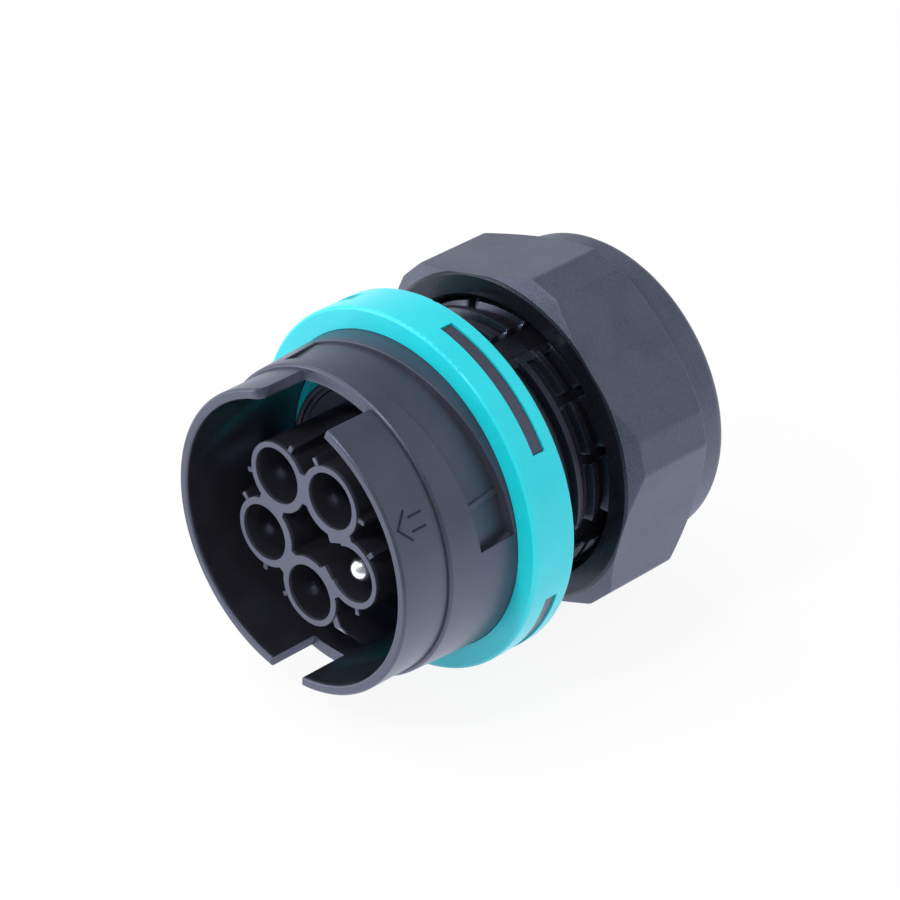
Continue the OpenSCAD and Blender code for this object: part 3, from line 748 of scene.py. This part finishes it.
# %% A pale floor
FLOOR = -21.06 * MM
FLOOR_SHOWN_WHITE = 0.90
FLOOR_IN_SHEEN = 1.6
FLOOR_UNLIT = 0.3
TABLE_EDGE = Vector((0.7, -0.7, 0))
LIT_TO = 40
UNLIT_FROM = 110
FLOOR_HALF = 4
COOL_LIGHT = (0.88, 0.92, 1.0, 1)


def cooler_in_sheen(tree, path):
    """White in plain sight and cool in the sheen of a glossy surface"""
    white_and_cool = {"Factor": path["Is Glossy Ray"], "A": (1, 1, 1, 1), "B": COOL_LIGHT}
    return put(tree, "ShaderNodeMix", white_and_cool, data_type="RGBA").outputs["Result"]


floor_mesh = bpy.data.meshes.new("floor")
corners = [(FLOOR_HALF * x, FLOOR_HALF * y, FLOOR) for x, y in ((-1, -1), (1, -1), (1, 1), (-1, 1))]
floor_mesh.from_pydata(corners, [], [(0, 1, 2, 3)])
floor = bpy.data.objects.new("floor", floor_mesh)
bpy.context.scene.collection.objects.link(floor)
sheet = bpy.data.materials.new("floor_white_sheet")
sheet.use_nodes = True
tree = sheet.node_tree
matte = tree.nodes["Principled BSDF"]
matte.inputs["Base Color"].default_value = (0.90, 0.90, 0.91, 1)
matte.inputs["Roughness"].default_value = 0.9
matte.inputs["Specular IOR Level"].default_value = 0.1
path = put(tree, "ShaderNodeLightPath").outputs
floor_place = put(tree, "ShaderNodeTexCoord").outputs["Object"]
to_edge = {0: floor_place, 1: TABLE_EDGE}
ahead = put(tree, "ShaderNodeVectorMath", to_edge, operation="DOT_PRODUCT").outputs["Value"]
in_sheen = spread(tree, ahead, FLOOR_IN_SHEEN, FLOOR_UNLIT, LIT_TO * MM, UNLIT_FROM * MM)
strength = spread(tree, path["Is Glossy Ray"], 1.0, in_sheen, 0, 1)
white = put(tree, "ShaderNodeEmission", {"Color": cooler_in_sheen(tree, path), "Strength": strength})
share = math_node(tree, "MULTIPLY_ADD", path["Is Camera Ray"], FLOOR_SHOWN_WHITE, path["Is Glossy Ray"])
shown = put(tree, "ShaderNodeMixShader", {0: share, 1: matte.outputs[0], 2: white.outputs[0]})
tree.links.new(shown.outputs[0], tree.nodes["Material Output"].inputs["Surface"])
floor_mesh.materials.append(sheet)
print("floor at", round(FLOOR / MM, 2), "mm")

# %% [markdown]
# ## The room
# Black plastic shows the room more than its own colour. The room is white, but the side where the
# photographer stands is dark, and so is the ceiling beyond the socket. Faces turned to either look
# nearly black. The dark sides are what draws the edges: each rounding passes through one of them
# and shows a dark line beside a light one.

# %% A white room with two dark sides
WORLD_LIGHT = 0.84
DARK_LEVEL = 0.34
CEILING_LEVEL = 0.45
CAMERA_SIDE = Vector((0.63, -0.61, 0.48))
CEILING_SIDE = Vector((-0.25, 0.60, 0.76))
DARKEST_AT = 0.95


def darker_towards(way, side, level, start):
    """The room's light, which falls to a level towards one side, from a start between 0 and 1"""
    both = {0: way, 1: side.normalized()}
    near = put(tree, "ShaderNodeVectorMath", both, operation="DOT_PRODUCT").outputs["Value"]
    return spread(tree, near, 1.0, level, start, DARKEST_AT)


room = bpy.data.worlds.new("white_room")
bpy.context.scene.world = room
room.use_nodes = True
tree = room.node_tree
tree.nodes.clear()
way = put(tree, "ShaderNodeTexCoord").outputs["Generated"]
near_camera = darker_towards(way, CAMERA_SIDE, DARK_LEVEL, start=0.45)
overhead = darker_towards(way, CEILING_SIDE, CEILING_LEVEL, start=0.7)
mirrored = math_node(tree, "MULTIPLY", near_camera, overhead)
path = put(tree, "ShaderNodeLightPath").outputs
cast_and_mirrored = {"Factor": path["Is Glossy Ray"], "A": WORLD_LIGHT, "B": mirrored}
level = put(tree, "ShaderNodeMix", cast_and_mirrored).outputs[0]
in_sight = math_node(tree, "MAXIMUM", path["Is Camera Ray"], path["Is Transmission Ray"])
level = math_node(tree, "MAXIMUM", level, in_sight)
wall = put(tree, "ShaderNodeBackground", {"Color": cooler_in_sheen(tree, path), "Strength": level})
put(tree, "ShaderNodeOutputWorld", {"Surface": wall.outputs[0]})
print("mirrored room from", DARK_LEVEL, "at the camera to 1 on the left")

# %% [markdown]
# ## Lamps
# A large soft lamp stands high on the left, and a lower one in front on the left lights the ends
# of the tubes and the face of the ring. A small one above the front draws the bright lines on the
# edges of the bands. Black plastic shows lamps mainly as sheens, so their size matters more than
# their power. All are kept low enough that the teal is not washed out.

# %% Three soft lamps
def soft_lamp(name, place, size, power):
    """A square lamp that faces the socket, its place and size in millimetres and its power in watts"""
    light = bpy.data.lights.new(name, "AREA")
    light.size = size * MM
    light.energy = power
    lamp = bpy.data.objects.new(name, light)
    lamp.location = Vector(place) * MM
    lamp.rotation_euler = (-lamp.location).to_track_quat("-Z", "Y").to_euler()
    bpy.context.scene.collection.objects.link(lamp)


soft_lamp("high_lamp", (-330, -60, 420), 420, 0.75)
soft_lamp("front_lamp", (-430, -430, 90), 300, 1.4)
soft_lamp("edge_lamp", (10, -370, 390), 70, 1.0)

# %% [markdown]
# ## Camera
# The camera stands in front of the socket, to its right and above it, far off with a long lens,
# so the circles stay nearly alike in size. Its place and turn were fitted to the photograph.

# %% The photograph's view
CAMERA_PLACE = Vector((276.3, -261.9, 211.4))
VIEW_RIGHT = Vector((0.7044, 0.7089, -0.0350)).normalized()
VIEW_AHEAD = Vector((-0.6334, 0.6058, -0.4814)).normalized()
eye = bpy.data.cameras.new("photo_view")
eye.lens = 160
eye.sensor_width = 36
camera = bpy.data.objects.new("photo_view", eye)
bpy.context.scene.collection.objects.link(camera)
view_up = VIEW_RIGHT.cross(VIEW_AHEAD).normalized()
turn = Matrix((VIEW_RIGHT, view_up, -VIEW_AHEAD)).transposed()
camera.matrix_world = Matrix.Translation(CAMERA_PLACE * MM) @ turn.to_4x4()
bpy.context.scene.camera = camera
bpy.context.scene.view_settings.view_transform = "Standard"
print("camera at", [round(v, 1) for v in CAMERA_PLACE], "mm")
